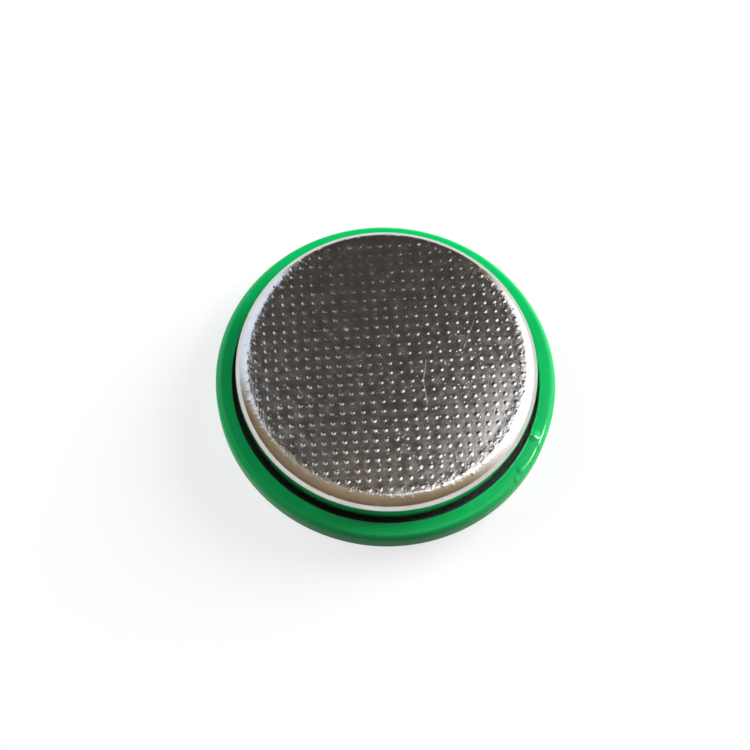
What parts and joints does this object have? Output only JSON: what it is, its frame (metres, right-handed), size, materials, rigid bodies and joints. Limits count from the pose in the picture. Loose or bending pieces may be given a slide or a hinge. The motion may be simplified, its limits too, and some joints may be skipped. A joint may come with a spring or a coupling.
{
  "type": "lithium coin cell",
  "caption": "Lithium coin cell in a green shrink sleeve, with a black gasket ring and a bright steel negative cap that has a round shoulder and a square field of raised dots.",
  "frame": {"origin": "middle of the underside, on the plane that the cell rests on", "axes": "+Z along the cell's axis, from the positive end up to the negative cap; the picture is taken from the -Y side"},
  "size_m": [0.0244, 0.0244, 0.005],
  "materials": {
    "sleeve_film": "gloss green shrink film",
    "can_steel": "bright drawn stainless steel",
    "cap_steel": "bright drawn stainless steel with embossed dots",
    "gasket_plastic": "black moulded polypropylene",
    "lithium_metal": "soft grey metal",
    "separator_fleece": "white polypropylene fleece",
    "pellet_powder": "black pressed powder",
    "collector_steel": "plain stainless steel"
  },
  "bodies": {
    "root": {"sleeve": "sleeve_film", "positive_can": "can_steel", "gasket": "gasket_plastic", "negative_cap": "cap_steel", "lithium_anode": "lithium_metal", "separator": "separator_fleece", "cathode_pellet": "pellet_powder", "cathode_collector": "collector_steel"}
  },
  "joints": []
}
